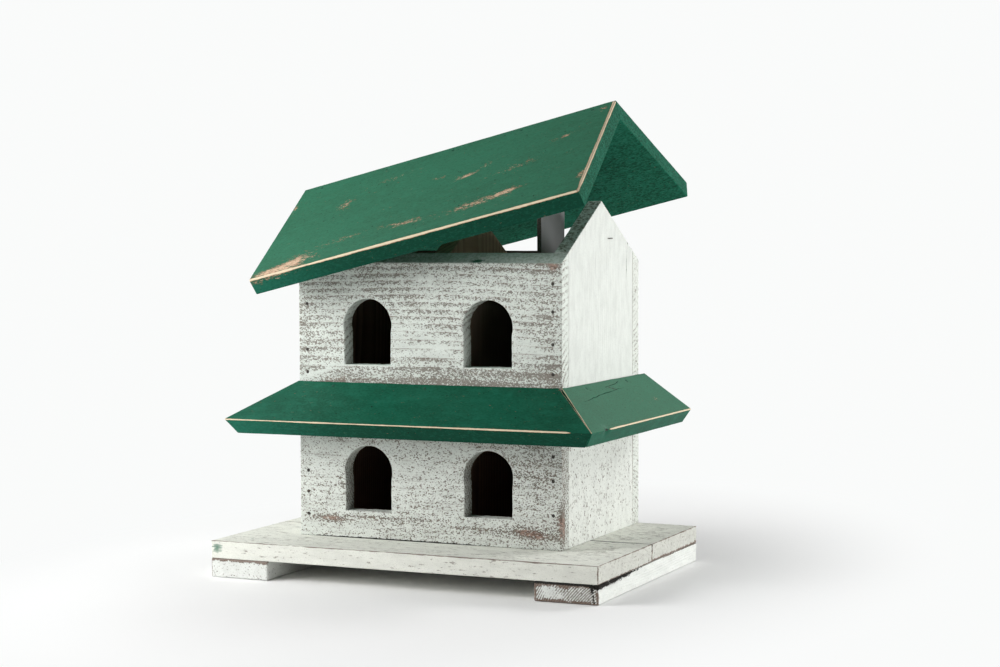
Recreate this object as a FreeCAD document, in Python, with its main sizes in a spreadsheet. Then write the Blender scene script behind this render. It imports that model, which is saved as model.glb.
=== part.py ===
"""Two-storey wooden birdhouse: a plank base on two feet, four rooms with arched entrances,
a mitred skirt roof between the storeys, and a loose gable roof that tips open over the left
gable and rests on a slat standing in the right-hand room.

Frame: millimetres, X along the ridge to the right, Y to the back, Z up. The origin is on the
ground, under the middle of the whole object's box. The roof is drawn in the pose it rests in.
"""
import FreeCAD
import Part
import Sketcher
import math
import os

Vector = FreeCAD.Vector
Rotation = FreeCAD.Rotation
Placement = FreeCAD.Placement

# Driving dimensions: alias, millimetres or degrees, what it is.
DIMENSIONS = [
    ("board", 19.0, "thickness of the front, back, base, floor, skirt and roof boards"),
    ("side_board", 16.0, "thickness of the side boards and gables"),
    ("front_edge", 179.9, "from the origin to the front edge of the base"),
    ("base_length", 448.0, "base along X"),
    ("base_depth", 303.0, "base along Y"),
    ("front_plank_width", 157.0, "front plank of the base"),
    ("foot_height", 20.5, "height of the feet"),
    ("foot_width", 69.5, "feet along X"),
    ("house_length", 310.0, "house along X, outside"),
    ("house_depth", 229.0, "house along Y, outside"),
    ("storey_height", 159.0, "lower storey, base top to the top of its boards"),
    ("eave_height", 338.5, "outer top edge of the front and back boards"),
    ("gable_angle", 29.7, "slope of the gables"),
    ("partition_drop", 13.0, "room partition's apex below the gables' apex"),
    ("entrance_offset", 71.0, "entrance centres from the middle of the house"),
    ("entrance_width", 55.2, "straight sides of an entrance"),
    ("entrance_radius", 28.6, "round top of an entrance"),
    ("lower_sill", 30.0, "lower entrances' sill above the base"),
    ("upper_sill", 29.7, "upper entrances' sill above the upper floor"),
    ("entrance_height", 71.2, "sill to the top of the arch"),
    ("skirt_top", 209.6, "skirt roof's top edge at the wall"),
    ("skirt_angle", 33.3, "slope of the front and left skirt boards"),
    ("right_angle", 34.8, "slope of the right skirt board, for a level eave"),
    ("skirt_overhang", 60.4, "front and left skirt boards beyond the wall"),
    ("right_overhang", 57.2, "right skirt board beyond the wall"),
    ("skirt_tail", 16.6, "side skirt boards beyond the back of the house"),
    ("mitre_gap", 3.2, "open joint of the front right mitre at the wall"),
    ("roof_length", 391.5, "roof planks along the ridge"),
    ("roof_angle", 29.0, "slope of the roof planks"),
    ("roof_front_width", 197.0, "front plank down its slope"),
    ("roof_back_width", 195.5, "back plank down its slope"),
    ("roof_left_end", 33.7, "roof's left end beyond the left gable, along the ridge"),
    ("roof_tilt", 13.64, "roof's right end tipped up at rest"),
    ("roof_roll", 2.28, "roof's back eave rolled up at rest"),
    ("roof_shift", 2.5, "roof forward of the middle of the house at rest"),
    ("roof_gap", 6.1, "ridge's underside above the left gable at rest"),
    ("prop_width", 66.0, "propping slat along Y"),
    ("prop_thickness", 5.0, "propping slat along X"),
    ("prop_place", 93.0, "propping slat's left face from the middle of the house"),
    ("prop_length", 251.9, "propping slat's height"),
    ("nail_length", 36.0, "nails, head and shank"),
    ("brad_length", 24.0, "nails of the ridge"),
    ("nail_radius", 1.1, "nail shank"),
    ("head_radius", 1.9, "nail head"),
    ("head_thickness", 1.2, "nail head"),
    ("staple_crown", 12.7, "staple's width"),
    ("staple_wire", 1.0, "staple wire, square"),
    ("staple_leg", 8.0, "staple's legs in the wood"),
]


class Size:
    """A length or number that carries its value and its spreadsheet expression."""

    def __init__(self, value, text):
        self.value = value
        self.text = text

    def _join(self, other, sign, value):
        return Size(value, "(%s %s %s)" % (self.text, sign, other.text))

    def __add__(self, other):
        other = size(other)
        return self._join(other, "+", self.value + other.value)

    def __sub__(self, other):
        other = size(other)
        return self._join(other, "-", self.value - other.value)

    def __mul__(self, other):
        other = size(other)
        return self._join(other, "*", self.value * other.value)

    def __truediv__(self, other):
        other = size(other)
        return self._join(other, "/", self.value / other.value)

    def __neg__(self):
        return size(0.0) - self


def size(item):
    return item if isinstance(item, Size) else Size(float(item), "%.6g" % item)


def trig(name, angle):
    """sin, cos or tan of an angle in degrees, as a Size."""
    value = getattr(math, name)(math.radians(angle.value))
    return Size(value, "%s(%s * 1 deg)" % (name, angle.text))


doc = FreeCAD.newDocument("birdhouse")
sheet = doc.addObject("Spreadsheet::Sheet", "Dims")
for row, (alias, number, note) in enumerate(DIMENSIONS, start=1):
    sheet.set("A%d" % row, str(number))
    sheet.setAlias("A%d" % row, alias)
    sheet.set("B%d" % row, note)
doc.recompute()
dim = {alias: Size(number, "Dims." + alias) for alias, number, note in DIMENSIONS}

# ---------------------------------------------------------------- levels and faces
base_front = -dim["front_edge"]
base_back = base_front + dim["base_depth"]
base_top = dim["foot_height"] + dim["board"]
back_face = base_back
front_face = back_face - dim["house_depth"]
middle = (front_face + back_face) / 2
room_front = front_face + dim["board"]
room_back = back_face - dim["board"]
right_face = dim["house_length"] / 2
left_face = -right_face
storey_top = base_top + dim["storey_height"]
slope = trig("tan", dim["gable_angle"])
board_inner_top = dim["eave_height"] + dim["board"] * slope
apex = dim["eave_height"] + dim["house_depth"] / 2 * slope
lower_sill = base_top + dim["lower_sill"]
upper_sill = storey_top + dim["upper_sill"]

made = {}


# ---------------------------------------------------------------- building functions
def bind(item, path, amount):
    """Bind one property to the sheet."""
    item.setExpression(path, size(amount).text)


def place(item, x, y, z):
    for axis, amount in zip("xyz", (x, y, z)):
        bind(item, ".Placement.Base." + axis, amount)


def box(name, corner, extent):
    """A straight board: lowest corner and lengths along X, Y and Z."""
    item = doc.addObject("Part::Box", name)
    for path, amount in zip(("Length", "Width", "Height"), extent):
        bind(item, path, amount)
    place(item, *corner)
    return item


def cylinder(name, base, radius, length, rotation):
    item = doc.addObject("Part::Cylinder", name)
    bind(item, "Radius", radius)
    bind(item, "Height", length)
    item.Placement = Placement(Vector(0, 0, 0), rotation)
    place(item, *base)
    return item


def cut(name, item, tool):
    result = doc.addObject("Part::Cut", name)
    result.Base = item
    result.Tool = tool
    return result


def fuse(name, items):
    result = doc.addObject("Part::MultiFuse", name)
    result.Shapes = items
    return result


def outline(body, name, plane, offset, points):
    """A closed sketch of straight edges on one of the body's planes, every corner dimensioned."""
    sketch = body.newObject("Sketcher::SketchObject", name)
    origin_plane = [f for f in body.Origin.OriginFeatures if f.Role == plane][0]
    sketch.AttachmentSupport = [(origin_plane, "")]
    sketch.MapMode = "FlatFace"
    bind(sketch, ".AttachmentOffset.Base.z", offset)
    corners = [Vector(u.value, v.value, 0) for u, v in points]
    count = len(corners)
    for i in range(count):
        sketch.addGeometry(Part.LineSegment(corners[i], corners[(i + 1) % count]), False)
    for i in range(count):
        sketch.addConstraint(Sketcher.Constraint("Coincident", i, 2, (i + 1) % count, 1))
    for i, (u, v) in enumerate(points):
        for kind, amount in (("DistanceX", u), ("DistanceY", v)):
            index = sketch.addConstraint(
                Sketcher.Constraint(kind, -1, 1, i, 1, amount.value))
            bind(sketch, "Constraints[%d]" % index, amount)
    return sketch


def prism(name, plane, offset, points, length, reverse=False):
    """A PartDesign body: a sketched outline padded to a length."""
    body = doc.addObject("PartDesign::Body", name)
    sketch = outline(body, name + "_outline", plane, offset, points)
    pad = body.newObject("PartDesign::Pad", name + "_pad")
    pad.Profile = sketch
    pad.Reversed = reverse
    bind(pad, "Length", length)
    body.Tip = pad
    return body


def saw(body, name, points):
    """Cut a straight-edged outline down through the whole body."""
    sketch = outline(body, name, "XY_Plane", size(0), points)
    pocket = body.newObject("PartDesign::Pocket", name + "_cut")
    pocket.Profile = sketch
    pocket.Type = "ThroughAll"
    pocket.SideType = "Symmetric"
    body.Tip = pocket


def keep(name, item):
    item.Label = name
    made[name] = item
    return item


def nail_group(name, spots, length):
    """Nails as one compound. Each spot is the outer point that a head is flush with, and the
    way that the nail is driven."""
    shank = Part.makeCylinder(sheet.nail_radius, length)
    head = Part.makeCylinder(sheet.head_radius, sheet.head_thickness)
    nail = head.fuse(shank).removeSplitter()
    nails = []
    for spot, direction in spots:
        one = nail.copy()
        one.Placement = Placement(spot, Rotation(Vector(0, 0, 1), direction))
        nails.append(one)
    item = doc.addObject("Part::Feature", name)
    item.Shape = Part.makeCompound(nails)
    return keep(name, item)


def drill(item, *fixings):
    """Cut the holes that nails or a staple leave, one group at a time."""
    for fixing in fixings:
        item = cut(item.Name + "_" + fixing, item, made[fixing])
    return item


def entrances(storey, sill):
    """The cutter for a storey's two entrances: straight sides under a slightly wider arch."""
    centre = sill + dim["entrance_height"] - dim["entrance_radius"]
    pieces = []
    for side in (-1, 1):
        x = dim["entrance_offset"] * side
        name = "%s_entrance_%s" % (storey, "left" if side < 0 else "right")
        pieces.append(box(name, (x - dim["entrance_width"] / 2, front_face - 1, sill),
                          (dim["entrance_width"], dim["board"] + 2, centre - sill)))
        pieces.append(cylinder(name + "_arch", (x, front_face - 1, centre),
                               dim["entrance_radius"], dim["board"] + 2,
                               Rotation(Vector(0, 0, 1), Vector(0, 1, 0))))
    return fuse(storey + "_entrances", pieces)


# ---------------------------------------------------------------- nails and staple
corner_inset = 10.0
column_x = right_face.value - corner_inset
upper_heights = {-1: (219.0, 243.5, 293.5, 320.0), 1: (223.0, 254.0, 288.0, 317.0)}
lower_heights = {-1: (63.5, 88.0, 111.0), 1: (76.0, 112.0, 137.5)}
down = Vector(0, 0, -1)
to_back = Vector(0, 1, 0)
to_front = Vector(0, -1, 0)


def wall_nails(name, face, heights, direction):
    """A column of nails at each end of a front or back board, left (-1) and right (1)."""
    spots = [(Vector(side * column_x, face.value, height), direction)
             for side in (-1, 1) for height in heights[side]]
    return nail_group(name, spots, sheet.nail_length)


wall_nails("nails_upper_front", front_face, upper_heights, to_back)
wall_nails("nails_upper_back", back_face, upper_heights, to_front)
wall_nails("nails_lower_front", front_face, lower_heights, to_back)
wall_nails("nails_lower_back", back_face, lower_heights, to_front)

foot_middle = (sheet.base_length - sheet.foot_width) / 2
plank_insets = (28.0, 128.0, 190.0, 275.0)
nail_group(
    "nails_base",
    [(Vector(side * foot_middle, base_front.value + inset, base_top.value), down)
     for side in (-1, 1) for inset in plank_insets],
    sheet.nail_length)

skirt_drop = 4.2


def skirt_spot(x, y, outward, angle):
    """A nail square to a skirt board, a little below its top edge."""
    turn = math.radians(angle.value)
    reach = skirt_drop / math.tan(turn)
    start = Vector(x, y, sheet.skirt_top - skirt_drop) + outward * reach
    return start, outward * -math.sin(turn) + down * math.cos(turn)


front_span = 110.0
side_span = 60.0
spots = [skirt_spot(x, front_face.value, to_front, dim["skirt_angle"])
         for x in (-front_span, 0.0, front_span)]
for side, face, angle in ((-1, left_face, "skirt_angle"), (1, right_face, "right_angle")):
    spots += [skirt_spot(face.value, middle.value + y, Vector(side, 0, 0), dim[angle])
              for y in (-side_span, side_span)]
nail_group("nails_skirt", spots, sheet.nail_length)

staple_y = middle + 24.0
staple_z = size(362.7)
crown = box(
    "staple_crown",
    (right_face, staple_y - dim["staple_crown"] / 2, staple_z),
    (dim["staple_wire"], dim["staple_crown"], dim["staple_wire"]))
legs = [
    box("staple_leg_%d" % number,
        (right_face - dim["staple_leg"], staple_y + shift, staple_z),
        (dim["staple_leg"], dim["staple_wire"], dim["staple_wire"]))
    for number, shift in enumerate((dim["staple_crown"] / -2,
                                    dim["staple_crown"] / 2 - dim["staple_wire"]))]
keep("gable_staple", fuse("gable_staple", [crown] + legs))

# ---------------------------------------------------------------- base
foot_left_corner = dim["base_length"] / -2
foot_right_corner = dim["base_length"] / 2 - dim["foot_width"]
for name, x in (("foot_left", foot_left_corner), ("foot_right", foot_right_corner)):
    foot = box(name + "_block", (x, base_front, 0),
               (dim["foot_width"], dim["base_depth"], dim["foot_height"]))
    keep(name, drill(foot, "nails_base"))

plank_seam = base_front + dim["front_plank_width"]
for name, y, width in (
        ("base_plank_front", base_front, dim["front_plank_width"]),
        ("base_plank_back", plank_seam, dim["base_depth"] - dim["front_plank_width"])):
    plank = box(name + "_block", (dim["base_length"] / -2, y, dim["foot_height"]),
                (dim["base_length"], width, dim["board"]))
    keep(name, drill(plank, "nails_base"))

# ---------------------------------------------------------------- lower storey
lower_front = box("lower_front_block", (left_face, front_face, base_top),
                  (dim["house_length"], dim["board"], dim["storey_height"]))
lower_front = cut("lower_front_open", lower_front, entrances("lower", lower_sill))
keep("lower_front", drill(lower_front, "nails_lower_front", "nails_skirt"))

lower_back = box("lower_back_block", (left_face, room_back, base_top),
                 (dim["house_length"], dim["board"], dim["storey_height"]))
keep("lower_back", drill(lower_back, "nails_lower_back"))

room_depth = dim["house_depth"] - dim["board"] * 2
right_inner = right_face - dim["side_board"]
left_inner = left_face + dim["side_board"]
for name, x in (("lower_left", left_face), ("lower_right", right_inner)):
    side = box(name + "_block", (x, room_front, base_top),
               (dim["side_board"], room_depth, dim["storey_height"]))
    keep(name, drill(side, "nails_lower_front", "nails_lower_back", "nails_skirt"))

keep("lower_partition", box(
    "lower_partition", (dim["board"] / -2, room_front, base_top),
    (dim["board"], room_depth, dim["storey_height"] - dim["board"])))
keep("upper_floor", box(
    "upper_floor", (left_inner, room_front, storey_top - dim["board"]),
    (dim["house_length"] - dim["side_board"] * 2, room_depth, dim["board"])))

# ---------------------------------------------------------------- upper storey
upper_front = prism(
    "upper_front_board", "YZ_Plane", left_face,
    [(front_face, storey_top), (room_front, storey_top),
     (room_front, board_inner_top), (front_face, dim["eave_height"])],
    dim["house_length"])
upper_front = cut("upper_front_open", upper_front, entrances("upper", upper_sill))
keep("upper_front", drill(upper_front, "nails_upper_front"))

upper_back = prism(
    "upper_back_board", "YZ_Plane", left_face,
    [(room_back, storey_top), (back_face, storey_top),
     (back_face, dim["eave_height"]), (room_back, board_inner_top)],
    dim["house_length"])
keep("upper_back", drill(upper_back, "nails_upper_back"))


def gable_outline(drop):
    """Five-sided gable between the front and back boards, its slopes lowered by drop."""
    return [(room_front, storey_top), (room_back, storey_top),
            (room_back, board_inner_top - drop), (middle, apex - drop),
            (room_front, board_inner_top - drop)]


for name, x, fixings in (
        ("gable_left", left_face, ("nails_upper_front", "nails_upper_back")),
        ("gable_right", right_inner, ("nails_upper_front", "nails_upper_back", "gable_staple"))):
    gable = prism(name + "_board", "YZ_Plane", x, gable_outline(0), dim["side_board"])
    keep(name, drill(gable, *fixings))
keep("upper_partition", prism(
    "upper_partition", "YZ_Plane", dim["board"] / -2,
    gable_outline(dim["partition_drop"]), dim["board"]))

# ---------------------------------------------------------------- skirt roof
def skirt_outline(wall, outward, overhang, angle):
    """Section of a skirt board against its wall: plumb against the wall, square at the eave."""
    rise = overhang * trig("tan", angle)
    eave_in = dim["board"] * trig("sin", angle)
    eave_down = dim["board"] * trig("cos", angle)
    return [
        (wall, dim["skirt_top"]),
        (wall + overhang * outward, dim["skirt_top"] - rise),
        (wall + (overhang - eave_in) * outward, dim["skirt_top"] - rise - eave_down),
        (wall, dim["skirt_top"] - dim["board"] / trig("cos", angle))]


skirt_left_edge = left_face - dim["skirt_overhang"]
skirt_right_edge = right_face + dim["right_overhang"]
skirt_front_edge = front_face - dim["skirt_overhang"]

skirt_front = prism(
    "skirt_front_board", "YZ_Plane", skirt_left_edge,
    skirt_outline(front_face, -1, dim["skirt_overhang"], dim["skirt_angle"]),
    skirt_right_edge - skirt_left_edge)
saw(skirt_front, "front_left_mitre",
    [(left_face, front_face), (skirt_left_edge, front_face), (skirt_left_edge, skirt_front_edge)])
saw(skirt_front, "front_right_mitre",
    [(right_face - dim["mitre_gap"], front_face), (skirt_right_edge, skirt_front_edge),
     (skirt_right_edge, front_face)])
keep("skirt_front", drill(skirt_front, "nails_skirt"))

for name, wall, outward, overhang, angle, edge in (
        ("skirt_left", left_face, -1, "skirt_overhang", "skirt_angle", skirt_left_edge),
        ("skirt_right", right_face, 1, "right_overhang", "right_angle", skirt_right_edge)):
    board = prism(
        name + "_board", "XZ_Plane", -skirt_front_edge,
        skirt_outline(wall, outward, dim[overhang], dim[angle]),
        back_face + dim["skirt_tail"] - skirt_front_edge, reverse=True)
    saw(board, name + "_mitre",
        [(wall, front_face), (wall, skirt_front_edge), (edge, skirt_front_edge)])
    keep(name, drill(board, "nails_skirt"))

# ---------------------------------------------------------------- roof
# Drawn with its own zero on the ridge's underside over the left gable's outer face, then tipped.
roof_tip = math.radians(sheet.roof_tilt)
gable_rise = apex.value - sheet.eave_height
roof_zero = Vector(
    left_face.value - gable_rise * math.sin(roof_tip),
    middle.value - sheet.roof_shift,
    apex.value + sheet.roof_gap - gable_rise * math.sin(roof_tip) * math.tan(roof_tip))
roof_turn = Rotation(to_front, sheet.roof_tilt) * Rotation(Vector(1, 0, 0), sheet.roof_roll)
roof_place = Placement(roof_zero, roof_turn)

sin_roof = trig("sin", dim["roof_angle"])
cos_roof = trig("cos", dim["roof_angle"])
ridge_top = dim["board"] / cos_roof


def roof_outline(outward, width):
    """Section of a roof plank: plumb at the ridge, square at the eave."""
    eave_y = width * cos_roof
    eave_z = ridge_top - width * sin_roof
    return [
        (size(0), size(0)),
        (size(0), ridge_top),
        (eave_y * outward, eave_z),
        ((eave_y - dim["board"] * sin_roof) * outward, eave_z - dim["board"] * cos_roof)]


ridge_inset = 8.0
ridge_places = (25.0, 110.0, 195.0, 280.0, 366.0)
roof_lean = math.radians(sheet.roof_angle)
spots = []
for along in ridge_places:
    start = Vector(along - sheet.roof_left_end, -ridge_inset * math.cos(roof_lean),
                   ridge_top.value - ridge_inset * math.sin(roof_lean))
    spots.append((start, to_back * math.sin(roof_lean) + down * math.cos(roof_lean)))
ridge_nails = nail_group("nails_ridge", spots, sheet.brad_length)

for name, outward, width in (("roof_plank_front", -1, "roof_front_width"),
                             ("roof_plank_back", 1, "roof_back_width")):
    plank = prism(name + "_board", "YZ_Plane", -dim["roof_left_end"],
                  roof_outline(outward, dim[width]), dim["roof_length"])
    keep(name, drill(plank, "nails_ridge")).Placement = roof_place
keep("roof_prop", box(
    "roof_prop", (dim["prop_place"], middle - dim["prop_width"] / 2, storey_top),
    (dim["prop_thickness"], dim["prop_width"], dim["prop_length"])))

# ---------------------------------------------------------------- check and write
doc.recompute()
ridge_nails.Placement = roof_place
doc.recompute([ridge_nails])
for item in doc.Objects:
    if "Invalid" in item.State or "Error" in item.State:
        raise RuntimeError("failed: " + item.Label)
os.makedirs("parts", exist_ok=True)
for name, item in made.items():
    shape = item.Shape
    if shape.isNull() or not shape.isValid():
        raise RuntimeError("no valid shape: " + name)
    shape.exportStep("parts/%s.step" % name)
print("wrote %d parts" % len(made))
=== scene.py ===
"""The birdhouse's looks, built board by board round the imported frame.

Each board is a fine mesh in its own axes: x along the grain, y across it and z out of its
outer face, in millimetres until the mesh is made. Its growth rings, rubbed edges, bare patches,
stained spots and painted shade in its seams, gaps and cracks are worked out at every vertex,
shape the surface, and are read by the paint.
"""

import math
from collections import namedtuple

import bmesh
import bpy
import numpy as np
from mathutils import Matrix, Vector


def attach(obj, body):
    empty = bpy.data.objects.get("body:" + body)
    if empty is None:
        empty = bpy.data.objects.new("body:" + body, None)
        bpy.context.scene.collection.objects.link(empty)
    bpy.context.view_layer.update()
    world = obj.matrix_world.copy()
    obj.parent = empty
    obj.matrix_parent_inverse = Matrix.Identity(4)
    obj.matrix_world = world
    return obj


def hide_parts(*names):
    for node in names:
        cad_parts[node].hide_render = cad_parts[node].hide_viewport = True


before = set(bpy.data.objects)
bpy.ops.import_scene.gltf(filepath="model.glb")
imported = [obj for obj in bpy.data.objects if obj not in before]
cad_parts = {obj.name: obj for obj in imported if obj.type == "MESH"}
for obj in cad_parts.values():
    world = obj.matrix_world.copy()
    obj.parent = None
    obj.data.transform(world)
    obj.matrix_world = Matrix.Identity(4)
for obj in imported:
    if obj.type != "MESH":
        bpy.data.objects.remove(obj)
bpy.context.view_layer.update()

MM = 0.001
LEFT, RIGHT = Vector((-1, 0, 0)), Vector((1, 0, 0))
FRONT, BACK = Vector((0, -1, 0)), Vector((0, 1, 0))
UP = Vector((0, 0, 1))

# ------------------------ camera
CAMERA_PLACE = Vector((0.9738, -2.0954, 0.3769))
CAMERA_YAW = 24.066
CAMERA_PITCH = 2.9455
CAMERA_ROLL = 0.2127
CAMERA_LENS = 75.1


def make_camera():
    data = bpy.data.cameras.new("camera")
    data.lens = CAMERA_LENS
    data.sensor_width = 36.0
    data.clip_start = 0.05
    camera = bpy.data.objects.new("camera", data)
    bpy.context.scene.collection.objects.link(camera)
    turn = (Matrix.Rotation(math.radians(CAMERA_YAW), 4, "Z")
            @ Matrix.Rotation(math.radians(90 - CAMERA_PITCH), 4, "X")
            @ Matrix.Rotation(math.radians(-CAMERA_ROLL), 4, "Z"))
    camera.matrix_world = Matrix.Translation(CAMERA_PLACE) @ turn
    bpy.context.scene.camera = camera


# ------------------------ noise
def scatter(i, j, k, seed):
    """Repeatable random numbers from 0 to 1 at whole-number points."""
    n = (i.astype(np.uint32) * np.uint32(73856093) ^ j.astype(np.uint32) * np.uint32(19349663)
         ^ k.astype(np.uint32) * np.uint32(83492791) ^ np.uint32(seed * 9781 + 1013))
    n = (n ^ (n >> np.uint32(15))) * np.uint32(2246822519)
    n = (n ^ (n >> np.uint32(13))) * np.uint32(3266489917)
    n = n ^ (n >> np.uint32(16))
    return n.astype(np.float64) / 4294967295.0


def smooth_noise(points, seed):
    """Noise from -1 to 1 with features about one unit across."""
    cell = np.floor(points).astype(np.int64)
    part = points - cell
    part = part * part * (3 - 2 * part)
    total = np.zeros(len(points))
    for corner in range(8):
        step = np.array([corner >> 2 & 1, corner >> 1 & 1, corner & 1])
        share = np.prod(np.where(step, part, 1 - part), axis=1)
        i, j, k = (cell + step).T
        total += share * scatter(i, j, k, seed)
    return total * 2 - 1


def noise(points, size, seed, octaves=1):
    """Layered noise from about -1 to 1; size is one length, or one along each axis."""
    total = np.zeros(len(points))
    reach = 0.0
    for octave in range(octaves):
        weight = 0.5 ** octave
        total += weight * smooth_noise(points / np.array(size) * 2 ** octave, seed + octave)
        reach += weight
    return total / reach


# ------------------------ boards
SMALLEST_FACE = 100 * MM ** 2
SMALLEST_PLANE = 2
SAME_WAY = math.cos(math.radians(25))
THIN_BOARD = 12
ROUNDING_PASSES = 12
EDGE_ROWS = np.array([0.0, 0.35, 0.8, 1.3, 1.9, 2.7, 3.8])
DIMPLE_DEPTH, DIMPLE_REACH = 0.45, 3.4
FAR = 1000.0
# pith_y and pith_z are where the tree's middle runs beside the board, and ring is the rings'
# spacing; groove, rough and wave are heights; wander and drift bend the rings.
Grain = namedtuple("Grain", "pith_y pith_z ring seed groove rough wave wander drift",
                   defaults=(0.12, 0.1, 0.18, 0.7, 6.0))


def stations(length, step):
    """Shares of a length from 0 to 1, close together by both ends, where edges are round."""
    rows = EDGE_ROWS * min(1.0, length / THIN_BOARD)
    inner = length - 2 * rows[-1]
    count = max(2, 2 * round(inner / step / 2))
    middle = rows[-1] + inner * np.arange(1, count) / count
    return np.concatenate([rows, middle, length - rows[::-1]]) / length


def skin(shares):
    """The points on the outside of a box of grid lines, and the quads between them."""
    counts = [len(s) for s in shares]
    outside = np.zeros(counts, bool)
    for axis in range(3):
        for side in (0, -1):
            outside.swapaxes(0, axis)[side] = True
    index = np.full(counts, -1)
    index[outside] = np.arange(outside.sum())
    places = np.nonzero(outside)
    points = np.column_stack([s[p] for s, p in zip(shares, places)])
    quads = []
    for axis in range(3):
        for side in (0, -1):
            sheet = index.swapaxes(0, axis)[side]
            corners = [sheet[:-1, :-1], sheet[1:, :-1], sheet[1:, 1:], sheet[:-1, 1:]]
            if (axis > 0) != (side == 0):
                corners = corners[::-1]
            quads.append(np.stack(corners, -1).reshape(-1, 4))
    return points, np.concatenate(quads)


class Board:
    """A CAD board in its own axes, and what is true at points on it."""

    def __init__(self, node, along, outward):
        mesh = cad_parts[node].data
        outward = self.nearest_face(mesh, outward) or outward
        along = self.nearest_face(mesh, along) or along
        along = (along - outward * along.dot(outward)).normalized()
        axes = Matrix((along, outward.cross(along), outward)).transposed()
        corners = np.array([v.co for v in mesh.vertices]) @ np.array(axes)
        middle = (corners.min(0) + corners.max(0)) / 2
        self.matrix = axes.to_4x4()
        self.matrix.translation = axes @ Vector(middle)
        self.corners = (corners - middle) / MM
        self.low = self.corners.min(0)
        self.high = self.corners.max(0)
        self.find_planes()
        self.nails = []

    @staticmethod
    def nearest_face(mesh, direction):
        """The normal of the largest flat face within 25 degrees of a direction."""
        areas = {}
        for face in mesh.polygons:
            if face.normal.dot(direction) > SAME_WAY:
                key = tuple(round(c, 2) for c in face.normal)
                area, total = areas.get(key, (0.0, Vector()))
                areas[key] = (area + face.area, total + face.normal * face.area)
        area, total = max(areas.values(), key=lambda item: item[0], default=(0.0, None))
        return total.normalized() if area > SMALLEST_FACE else None

    def find_planes(self):
        """The flat faces of the board with its holes filled: outward normals and offsets."""
        hull = bmesh.new()
        for corner in self.corners:
            hull.verts.new(corner)
        bmesh.ops.remove_doubles(hull, verts=hull.verts, dist=0.01)
        bmesh.ops.convex_hull(hull, input=hull.verts)
        hull.normal_update()
        found = []
        for face in sorted(hull.faces, key=lambda f: -f.calc_area()):
            normal = np.array(face.normal)
            offset = normal @ np.array(face.verts[0].co)
            if face.calc_area() > SMALLEST_PLANE and all(
                    normal @ n < 0.999 or abs(offset - d) > 0.3 for n, d in found):
                found.append((normal, offset))
        hull.free()
        self.normals, self.offsets = (np.array(values) for values in zip(*found))

    def limits(self, axis, points, planes):
        """Lowest and highest value along an axis inside the given planes at each point."""
        low = np.full(len(points), -np.inf)
        high = np.full(len(points), np.inf)
        for plane in planes:
            normal = self.normals[plane]
            rest = self.offsets[plane] - points @ np.where(np.arange(3) == axis, 0, normal)
            if normal[axis] > 0:
                high = np.minimum(high, rest / normal[axis])
            else:
                low = np.maximum(low, rest / normal[axis])
        return low, high

    def grid(self, step):
        """Points and quads on the board's faces, in rows along and across its grain."""
        size = self.high - self.low
        shares, quads = skin([stations(length, s) for length, s in zip(size, step)])
        points = np.zeros(shares.shape)
        slanted = np.abs(self.normals) > 0.02
        points[:, 2] = self.low[2] + shares[:, 2] * size[2]
        for axis, planes in ((1, slanted[:, 1] & ~slanted[:, 0]), (0, slanted[:, 0])):
            low, high = self.limits(axis, points, np.nonzero(planes)[0])
            points[:, axis] = low + shares[:, axis] * (high - low)
        return points, quads

    def rounded(self, points, radius):
        """Points moved onto faces whose edges are rounded, and the way out at each."""
        inner = points.copy()
        for _ in range(ROUNDING_PASSES):
            for normal, offset in zip(self.normals, self.offsets):
                over = np.maximum(inner @ normal - (offset - radius), 0)
                inner -= over[:, None] * normal
        out = points - inner
        out /= np.linalg.norm(out, axis=1)[:, None]
        return inner + out * radius[:, None], out

    def edge(self, points, one, other):
        """Distance from the edge between two faces, given by the ways that they look."""
        slack = []
        for direction in (one, other):
            plane = np.argmax(self.normals @ np.array(direction))
            slack.append(np.maximum(self.offsets[plane] - points @ self.normals[plane], 0))
        return np.hypot(*slack)


def ring_phase(points, grain):
    """Growth rings round a pith line beside the board: whole numbers are the dark lines."""
    drift = noise(points * (1, 0, 0), 260, grain.seed) * grain.drift
    reach = np.hypot(points[:, 1] - grain.pith_y - drift, points[:, 2] - grain.pith_z)
    return reach / grain.ring + noise(points, (170, 34, 34), grain.seed + 1, 2) * grain.wander


def patch(points, x, y, length, width, turn=0.0):
    """A soft oval patch on a board, 1 in its middle; turn is in degrees."""
    c, s = math.cos(math.radians(turn)), math.sin(math.radians(turn))
    along = (points[:, 0] - x) * c + (points[:, 1] - y) * s
    across = (points[:, 1] - y) * c - (points[:, 0] - x) * s
    return np.exp(-((along / length) ** 2 + (across / width) ** 2) * 2)


def spots(points, patches):
    """The sum of patches on a board's outer face: each is a strength, then patch()'s values."""
    total = sum((strength * patch(points, *rest) for strength, *rest in patches),
                np.zeros(len(points)))
    return total * (points[:, 2] > 0)


def blob(points, place, reach):
    """A soft ball, 1 in its middle; reach is its size along each axis."""
    return np.exp(-(((points - place) / reach) ** 2).sum(1))


def route_gap(points, route):
    """How far points are from a line of points on a board's face."""
    gaps = []
    for start, end in zip(np.array(route[:-1], float), np.array(route[1:], float)):
        way = end - start
        share = np.clip((points[:, :2] - start) @ way / (way @ way), 0, 1)
        gaps.append(np.linalg.norm(points[:, :2] - start - share[:, None] * way, axis=1))
    return np.min(gaps, axis=0)


def relief(board, points, grain):
    """Height of a board's surface above its flat faces."""
    height = -grain.groove * (ring_phase(points, grain) % 1.0) ** 4
    height += grain.rough * noise(points, (5, 2.4, 2.4), grain.seed + 5, 2)
    height += grain.wave * noise(points, (140, 60, 60), grain.seed + 8)
    for nail in board.nails:
        gap = np.linalg.norm(points - nail, axis=1)
        height -= DIMPLE_DEPTH * np.exp(-(gap / DIMPLE_REACH) ** 2)
    return height


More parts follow.
